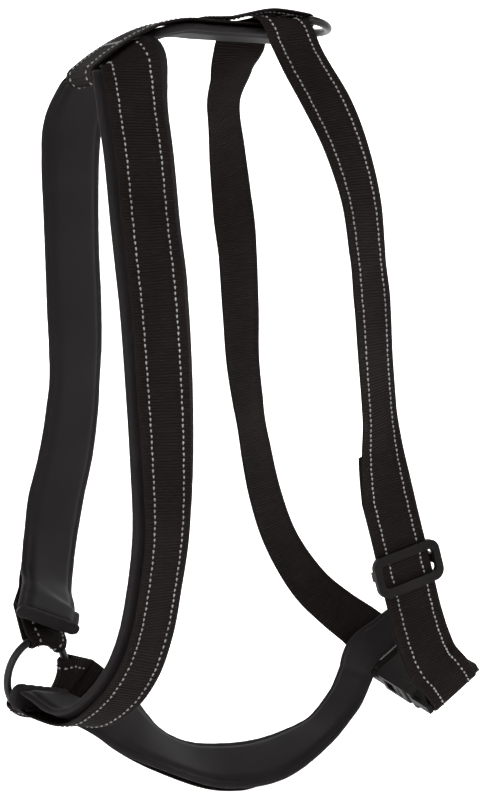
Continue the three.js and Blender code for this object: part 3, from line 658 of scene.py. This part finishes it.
def ramp(tree, source, low, high, dark, light):
    node = tree.nodes.new("ShaderNodeValToRGB")
    node.color_ramp.elements[0].position = low
    node.color_ramp.elements[0].color = (*dark, 1)
    node.color_ramp.elements[1].position = high
    node.color_ramp.elements[1].color = (*light, 1)
    tree.links.new(source, node.inputs["Fac"])
    return node


def bump(tree, shader, source, strength, distance):
    node = tree.nodes.new("ShaderNodeBump")
    node.inputs["Strength"].default_value = strength
    node.inputs["Distance"].default_value = distance
    tree.links.new(source, node.inputs["Height"])
    tree.links.new(node.outputs["Normal"], shader.inputs["Normal"])


def fabric(name, dark, light, roughness, sheen, weave, depth, specular):
    """A matt fabric: broad colour changes between dark and light, and a fine weave."""
    material, tree, shader = node_material(name, roughness, sheen, specular=specular)
    broad = noise(tree, 38.0)
    colour = ramp(tree, broad.outputs["Fac"], 0.3, 0.7, dark, light)
    tree.links.new(colour.outputs["Color"], shader.inputs["Base Color"])
    fine = noise(tree, weave, 2.0)
    bump(tree, shader, fine.outputs["Fac"], 0.35, depth)
    return material


webbing_material = fabric("ribbed webbing", (0.0042, 0.0028, 0.0024), (0.0068, 0.0047, 0.0041),
                          0.7, 0.0, 2600.0, 0.00012, 0.06)
neoprene_material = fabric("neoprene", (0.0075, 0.0062, 0.0068), (0.0105, 0.0088, 0.0096),
                           0.62, 0.0, 3800.0, 0.00005, 0.075)
thread_material = fabric("reflective thread", (0.13, 0.126, 0.13), (0.25, 0.245, 0.25),
                         0.5, 0.03, 5000.0, 0.00008, 0.3)


def moulded(name, dark, light, roughness, coat, grain, depth, specular):
    """A satin surface: faint colour changes and a fine grain."""
    material, tree, shader = node_material(name, roughness, coat=coat, specular=specular)
    broad = noise(tree, 60.0)
    colour = ramp(tree, broad.outputs["Fac"], 0.35, 0.7, dark, light)
    tree.links.new(colour.outputs["Color"], shader.inputs["Base Color"])
    fine = noise(tree, grain, 2.0)
    bump(tree, shader, fine.outputs["Fac"], 0.5, depth)
    return material


plastic_material = moulded("satin acetal", (0.0045, 0.0038, 0.0036), (0.0075, 0.0065, 0.0062),
                           0.42, 0.0, 3000.0, 0.00003, 0.05)
steel_material = moulded("black coated steel", (0.006, 0.0052, 0.005), (0.01, 0.009, 0.0088),
                         0.32, 0.04, 1200.0, 0.00002, 0.16)


def finished(piece, body, slot, *nodes):
    """The piece rides on its body and stands for its CAD nodes, which are hidden. The slot argument is not
    used.
    """
    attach(piece, body)
    if nodes:
        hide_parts(*nodes)


# ---- Neck straps ----
def neck_strap(side, points, pad_short_by, reach, shear, dip, deep, narrowed):
    """Webbing, stitches, pad, hem and bartack of one neck strap.

    The pad stops pad_short_by coarse steps before the webbing's loop and reaches on by reach.
    Near the ring it narrows by narrowed, slants by shear and lies dip further inside.
    """
    loop = f"{side}_neck"
    stations, surface = ring_strap(points, loop)
    coarse, _ = ring_strap(points, loop, STEP)
    spacing = np.linalg.norm(coarse[1].p - coarse[0].p)
    length = spacing * (len(coarse) - 1)
    strap = webbing(f"{side} neck webbing", surface)
    finished(strap, "root", "webbing", f"{side}_neck_webbing")
    sewn = stitches(f"{side} neck stitches", surface, 12.0, surface.length - 1.5)
    finished(sewn, "root", "reflective_thread")

    pad_end = spacing * (len(coarse) - pad_short_by - 1) + reach
    fine = length / (len(stations) - 1)
    past = [stations[-1].moved(along=k * fine) for k in range(1, 16)]
    kept = (stations + past)[:int(pad_end / fine) + 1]
    along = np.arange(len(kept)) * fine
    pressed = smooth(along / PAD_TOP_LENGTH - 0.6)
    thickness = PAD_TOP_THICK + (PAD_THICK - PAD_TOP_THICK) * pressed
    offsets = pad_offset(length - along, LIFT_AT_RING + dip) + (PAD_THICK - thickness) / 2
    widths = PAD_WIDTH - narrowed * smooth(1 - (length - along) / 45)
    pad_surface = Surface([row_at(s, w, o) for s, w, o in zip(kept, widths, offsets)])
    cushion = pad(f"{side} neck pad", pad_surface,
                  lambda s: np.interp(s, pad_surface.distance, thickness), shear=shear)
    finished(cushion, "root", "neoprene", f"{side}_neck_pad")
    hem(side, kept[-1], widths[-1], offsets[-1], shear, deep)
    tack = bartack(f"{side} neck bartack", stations[-TACK_FROM_END])
    finished(tack, "root", "reflective_thread", f"{side}_neck_bartack")


def hem(side, last, width, offset, shear, deep):
    """The rolled, sewn end of a neck pad, deep mm thicker on the side of the webbing."""
    thick = HEM_THICK + deep
    offset = offset - (HEM_THICK - PAD_THICK) / 2 + deep / 2
    count = 28
    angle = np.linspace(0, 2 * math.pi, count, endpoint=False)
    along = GAP + HEM_LENGTH / 2 + np.sign(np.cos(angle)) * np.abs(np.cos(angle)) ** 0.7 * HEM_LENGTH / 2
    high = offset + np.sign(np.sin(angle)) * np.abs(np.sin(angle)) ** 0.8 * thick / 2
    points = []
    across = np.linspace(-width / 2, width / 2, 44)
    for x in across:
        to_end = (width / 2 - abs(x)) / 2.4
        keep = 0.45 + 0.55 * math.sqrt(min(max(to_end, 0), 1))
        ripple = 0.12 * math.sin(x * 1.3)
        slide = shear * x / width
        for d, h in zip(along, high):
            out = offset + (h - offset) * keep + ripple
            points.append(last.p + last.t * (d + slide) + last.a * x + last.n * out)
    roll = make_object(f"{side} neck pad hem", points, loft_faces(len(across), count), neoprene_material)
    finished(roll, "root", "neoprene", f"{side}_neck_pad_hem")


neck_strap("left", LEFT_NECK, 1, reach=8.0, shear=-6.0, dip=0.5, deep=5.0, narrowed=0.0)
neck_strap("right", RIGHT_NECK, 0, reach=13.0, shear=12.0, dip=1.5, deep=0.0, narrowed=2.5)

# ---- Back strap ----
NECK_WRAP = (2 * WEB_THICK + 2 * PAD_GAP + 3 * GAP + PAD_TOP_THICK) / 2 + 0.5
back_stations = route_stations(BACK)
front_fold = [s.flipped() for s in turn_stations(back_stations[0].flipped(), NECK_WRAP, 1)][::-1]
wrap = [front_fold[0].moved(along=-WRAP_LENGTH * k / 8) for k in range(8, 0, -1)]
D_FOLD = D_WIRE + GAP + WEB_THICK / 2
rear_fold = turn_stations(back_stations[-1], D_FOLD, 1)
return_stations = route_stations(BACK_RETURN)[1:]
back_way = wrap + front_fold + back_stations + rear_fold + return_stations
back_surface = surface_of(back_way, WEB_WIDTH)
finished(webbing("back webbing", back_surface, tapered=9.0), "root", "webbing", "back_webbing")
front_end = WRAP_LENGTH + math.pi * NECK_WRAP + BACK_STITCHED
front_part = stitches("back stitches", back_surface, 1.0, front_end)
finished(front_part, "root", "reflective_thread")
return_start = back_surface.length - RETURN_STITCHED
rear_part = stitches("back return stitches", back_surface, return_start, back_surface.length - 8)
finished(rear_part, "root", "reflective_thread")

coarse_back = route_stations(BACK, 6.0)
back_pad_front = coarse_back[6].p[0] + BACK_PAD_PAST
back_pad_way = [s for s in back_stations if s.p[0] <= back_pad_front]
back_pad_surface = surface_of(back_pad_way, BACK_PAD_WIDTH, -BESIDE_WEB)
back_pad = pad("back pad", back_pad_surface, full_thickness, pucker=0.05)
finished(back_pad, "root", "neoprene", "back_pad")
front_tack = bartack("back bartack front", coarse_back[3])
finished(front_tack, "root", "reflective_thread", "back_bartack_front")
rear_tack = bartack("back bartack rear", return_stations[6])
finished(rear_tack, "root", "reflective_thread", "back_bartack_rear")

# ---- Right girth strap, to the buckle's fixed bar ----
FEMALE_BAR = MALE_BAR - BUCKLE_AXIS * BAR_SPREAD
BAR_FOLD = BUCKLE_BAR + GAP + WEB_THICK / 2
female_end = FEMALE_BAR - BUCKLE_IN * BAR_FOLD
female_way = [[*(female_end - BUCKLE_AXIS * back), *BUCKLE_ACROSS] for back in (12, 5, 0)]
right_stations = route_stations(RIGHT_GIRTH + female_way)
female_fold = turn_stations(right_stations[-1], BAR_FOLD, -1)
short_return = [female_fold[-1].moved(along=RETURN_LENGTH * k / 4, out=-1.5 * k / 4) for k in range(1, 5)]
right_surface = surface_of(right_stations + female_fold + short_return, WEB_WIDTH)
finished(webbing("right girth webbing", right_surface), "root", "webbing", "right_girth_webbing")
return_tack = bartack("right girth bartack", female_fold[-1].moved(along=1.6))
finished(return_tack, "root", "reflective_thread", "right_girth_bartack")

# ---- Sleeve on the right girth strap ----
sleeve_way = right_stations[-1 - SLEEVE[1]:len(right_stations) - SLEEVE[0]]


def flat_tube(station, width, thickness, count):
    """One ring of points round a strap: a flat oblong with rounded ends."""
    angle = np.linspace(0, 2 * math.pi, count, endpoint=False)
    x = np.sign(np.cos(angle)) * np.abs(np.cos(angle)) ** 0.35 * width / 2
    z = np.sign(np.sin(angle)) * np.abs(np.sin(angle)) ** 0.5 * thickness / 2
    return [station.p + station.a * i + station.n * j for i, j in zip(x, z)]


def sleeve_mesh():
    """A flat tube round the girth webbing, open at both ends."""
    points, faces = [], []
    count = 32
    for station in sleeve_way:
        points.extend(flat_tube(station, SLEEVE_WIDTH, SLEEVE_THICK, count))
    outer = loft_faces(len(sleeve_way), count, closed_ends=False)
    start = len(points)
    for station in sleeve_way:
        points.extend(flat_tube(station, WEB_WIDTH + SLEEVE_ROOM_ACROSS, WEB_THICK + SLEEVE_ROOM_OUT, count))
    inner = loft_faces(len(sleeve_way), count, closed_ends=False, start=start)
    faces.extend(outer)
    faces.extend([tuple(reversed(f)) for f in inner])
    last = (len(sleeve_way) - 1) * count
    for k in range(count):
        m = (k + 1) % count
        faces.append((m, k, start + k, start + m))
        faces.append((last + k, last + m, start + last + m, start + last + k))
    return make_object("belly sleeve", points, faces, webbing_material)


finished(sleeve_mesh(), "root", "webbing", "belly_sleeve")

# ---- Belly strap ----
middle_of_sleeve = sleeve_way[len(sleeve_way) // 2]
over_sleeve = []
for ahead, out in OVER_SLEEVE:
    place = middle_of_sleeve.moved(along=OVER_SLEEVE_ALONG, across=ahead, out=out).p
    over_sleeve.append([*place, *(-middle_of_sleeve.t)])
belly_forward = [[*q[:3], *(-np.array(q[3:]))] for q in BELLY[::-1]]
belly_stations, belly_surface = ring_strap(over_sleeve + belly_forward, "belly")
belly_length = FINE_STEP * (len(belly_stations) - 1)
belly_along = np.arange(len(belly_stations)) * FINE_STEP
past_pad_start = belly_along - BELLY_PAD_START
belly_offsets = np.minimum(pad_offset(belly_length - belly_along), pad_offset(past_pad_start)) - PAD_GAP
belly_widths = PAD_WIDTH - (PAD_WIDTH - PAD_END_WIDTH) * smooth(1 - past_pad_start / PAD_NARROWING)
belly_web = webbing("belly webbing", belly_surface, start=BELLY_WEB_START, tucked=BELLY_WEB_TUCK)
finished(belly_web, "root", "webbing", "belly_webbing")
belly_kept = belly_stations[:-int(STEP)]
belly_rows = [row_at(s, w, o) for s, w, o in zip(belly_kept, belly_widths, belly_offsets)]
belly_pad_surface = Surface(belly_rows)
from_sleeve = [np.linalg.norm(s.p - np.array(BELLY[-1][:3])) for s in belly_stations]
belly_pad = pad("belly pad", belly_pad_surface, full_thickness,
                cross_seam=belly_pad_surface.distance[int(np.argmin(from_sleeve))])
finished(belly_pad, "root", "neoprene", "belly_pad")
belly_sewn = stitches("belly stitches", belly_surface, BELLY_STITCH_START, belly_surface.length - 1.5)
finished(belly_sewn, "root", "reflective_thread")
belly_tack = bartack("belly bartack", belly_stations[-TACK_FROM_END])
finished(belly_tack, "root", "reflective_thread", "belly_bartack")

# ---- Left girth strap, with the adjuster loop round the male buckle's bar ----
straight = [[*(SLIDER_START + SLIDER_RUN * s), *STRAIGHT_ACROSS] for s in (0, 14.5, 29, 43.5, STRAIGHT)]
male_end = MALE_BAR + BUCKLE_AXIS * BAR_FOLD
male_way = [[*(male_end + BUCKLE_IN * back), *(-BUCKLE_ACROSS)] for back in (7, 3, 0)]
upper = route_stations(LEFT_GIRTH + straight[:1])
lower = route_stations(straight + TO_BUCKLE + male_way)
down = upper[:-1] + lower
male_fold = turn_stations(down[-1], BAR_FOLD, -1)
spread = 2 * BAR_FOLD - STACK
tail = []
for i, s in enumerate(down[len(upper) - TAIL_BACK:-1][::-1]):
    near = max(1 - (i + 1) * FINE_STEP / 28, 0)
    tail.append(s.moved(out=-(STACK + spread * near * near)).flipped())
left_surface = surface_of(down + male_fold + tail, WEB_WIDTH)
left_girth = webbing("left girth webbing", left_surface)
left_sewn = stitches("left girth stitches", left_surface, 12.0, left_surface.length - 2, pitch=2.15)
for piece in (left_girth, left_sewn):
    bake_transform(piece)
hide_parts("left_girth_webbing_upper", "left_girth_webbing_lower")


# ---- Rings ----
def wire_ring(name, outline, radius, sides, to_world, material):
    """A round wire along a closed flat outline."""
    outline = np.array(outline)
    ahead = np.roll(outline, -1, axis=0) - np.roll(outline, 1, axis=0)
    out = units(np.stack([ahead[:, 1], -ahead[:, 0]], axis=1))
    points = []
    for q, o in zip(outline, out):
        for k in range(sides):
            angle = 2 * math.pi * k / sides
            flat = q + o * radius * math.cos(angle)
            points.append(to_world(flat[0], flat[1], radius * math.sin(angle)))
    faces = []
    count = len(outline)
    for i in range(count):
        for k in range(sides):
            a, b = i * sides + k, i * sides + (k + 1) % sides
            c, d = ((i + 1) % count) * sides + k, ((i + 1) % count) * sides + (k + 1) % sides
            faces.append((a, b, d, c))
    return make_object(name, points, faces, material)


angles = np.linspace(0, 2 * math.pi, 120, endpoint=False)
circle = np.stack([np.cos(angles), np.sin(angles)], axis=1) * RING_RADIUS
chest_ring = wire_ring("chest ring", circle, RING_WIRE, 20,
                       lambda x, y, z: RING_CENTRE + RING_ACROSS * x + RING_UP * y + RING_NORMAL * z,
                       steel_material)
finished(chest_ring, "chest_ring", "ring_steel", "chest_ring")


def bezier(p0, p1, p2, p3, count):
    w = np.linspace(0, 1, count, endpoint=False)[:, None]
    p0, p1, p2, p3 = (np.array(p, float) for p in (p0, p1, p2, p3))
    return (1 - w) ** 3 * p0 + 3 * (1 - w) ** 2 * w * p1 + 3 * (1 - w) * w * w * p2 + w ** 3 * p3


def d_outline():
    """The D: a straight bar, two tight bends and a bow, in its own plane."""
    bend, half, depth = 2.5, D_HALF_WIDTH, D_DEPTH
    parts = [np.linspace((0, -half + bend), (0, half - bend), 24, endpoint=False)]
    turn = np.linspace(0, math.pi / 2, 8, endpoint=False)
    parts.append(np.stack([-bend + bend * np.cos(turn), half - bend + bend * np.sin(turn)], axis=1))
    parts.append(bezier((-bend, half), (-9, half), (-depth, 8.5), (-depth, 0), 20))
    parts.append(bezier((-depth, 0), (-depth, -8.5), (-9, -half), (-bend, -half), 20))
    parts.append(np.stack([-bend + bend * np.sin(turn), -half + bend - bend * np.cos(turn)], axis=1))
    return np.concatenate(parts)


def d_place(x, y, z):
    c, s = math.cos(-D_DROOP), math.sin(-D_DROOP)
    return D_BAR + np.array([x * c + z * s, y, -x * s + z * c])


leash_ring = wire_ring("leash ring", d_outline(), D_WIRE, 18, d_place, steel_material)
finished(leash_ring, "leash_ring", "ring_steel", "leash_d_ring")

# ---- Moulded parts: the CAD nodes with softened edges ----
for node in ("buckle_female", "buckle_male", "buckle_prong_front", "buckle_prong_rear", "slider"):
    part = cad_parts[node]
    part.data.materials.clear()
    part.data.materials.append(plastic_material)
    rounded = part.modifiers.new("softened edges", "BEVEL")
    rounded.width = 0.0006
    rounded.segments = 3
    rounded.limit_method = "ANGLE"
    rounded.angle_limit = math.radians(35)


# ---- Stage, light and camera ----
def backdrop():
    """A pale floor that curves up into a round wall."""
    floor_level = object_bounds()[0][2] - 0.0005
    profile = [(0.0, 0.0), (0.6, 0.0), (1.3, 0.0), (1.7, 0.03), (2.0, 0.14), (2.2, 0.36),
               (2.3, 0.7), (2.35, 1.6)]
    count = 72
    points, faces = [], []
    for radius, height in profile:
        for k in range(count):
            angle = 2 * math.pi * k / count
            points.append((radius * math.cos(angle) * 1000, radius * math.sin(angle) * 1000,
                           (height + floor_level) * 1000))
    for i in range(len(profile) - 1):
        for k in range(count):
            a, b = i * count + k, i * count + (k + 1) % count
            faces.append((a, b, b + count, a + count))
    material, _, shader = node_material("pale studio", 0.9)
    shader.inputs["Base Color"].default_value = (0.9, 0.9, 0.9, 1)
    shader.inputs["Emission Color"].default_value = (1, 1, 1, 1)
    shader.inputs["Emission Strength"].default_value = 0.9
    mesh = bpy.data.meshes.new("floor")
    mesh.from_pydata((np.array(points) * METRES).tolist(), [], faces)
    mesh.materials.append(material)
    mesh.polygons.foreach_set("use_smooth", [True] * len(mesh.polygons))
    floor = bpy.data.objects.new("floor", mesh)
    bpy.context.scene.collection.objects.link(floor)


def area_light(name, place, target, size, power):
    data = bpy.data.lights.new(name, "AREA")
    data.shape = "DISK"
    data.size = size
    data.energy = power
    light = bpy.data.objects.new(name, data)
    bpy.context.scene.collection.objects.link(light)
    light.location = place
    aim(light, target)


def aim(thing, target):
    direction = Vector(target) - Vector(thing.location)
    thing.rotation_euler = direction.to_track_quat("-Z", "Y").to_euler()


backdrop()
world = bpy.data.worlds.new("studio")
world.use_nodes = True
world.node_tree.nodes["Background"].inputs["Color"].default_value = (1, 1, 1, 1)
world.node_tree.nodes["Background"].inputs["Strength"].default_value = 0.35
bpy.context.scene.world = world
area_light("key light", (1.1, 1.0, 0.9), LIT_PLACE, 0.8, 8)
area_light("fill light", (-0.5, 1.4, 0.3), LIT_PLACE, 0.9, 2.6)
area_light("back light", (-0.4, -1.2, 0.9), LIT_PLACE, 0.9, 4)

camera_data = bpy.data.cameras.new("camera")
camera_data.sensor_fit = "VERTICAL"
camera_data.sensor_height = SENSOR_HEIGHT
camera_data.lens = LENS
camera = bpy.data.objects.new("camera", camera_data)
bpy.context.scene.collection.objects.link(camera)
camera.location = CAMERA_PLACE
aim(camera, CAMERA_TARGET)
bpy.context.scene.camera = camera
bpy.context.scene.view_settings.view_transform = "Standard"
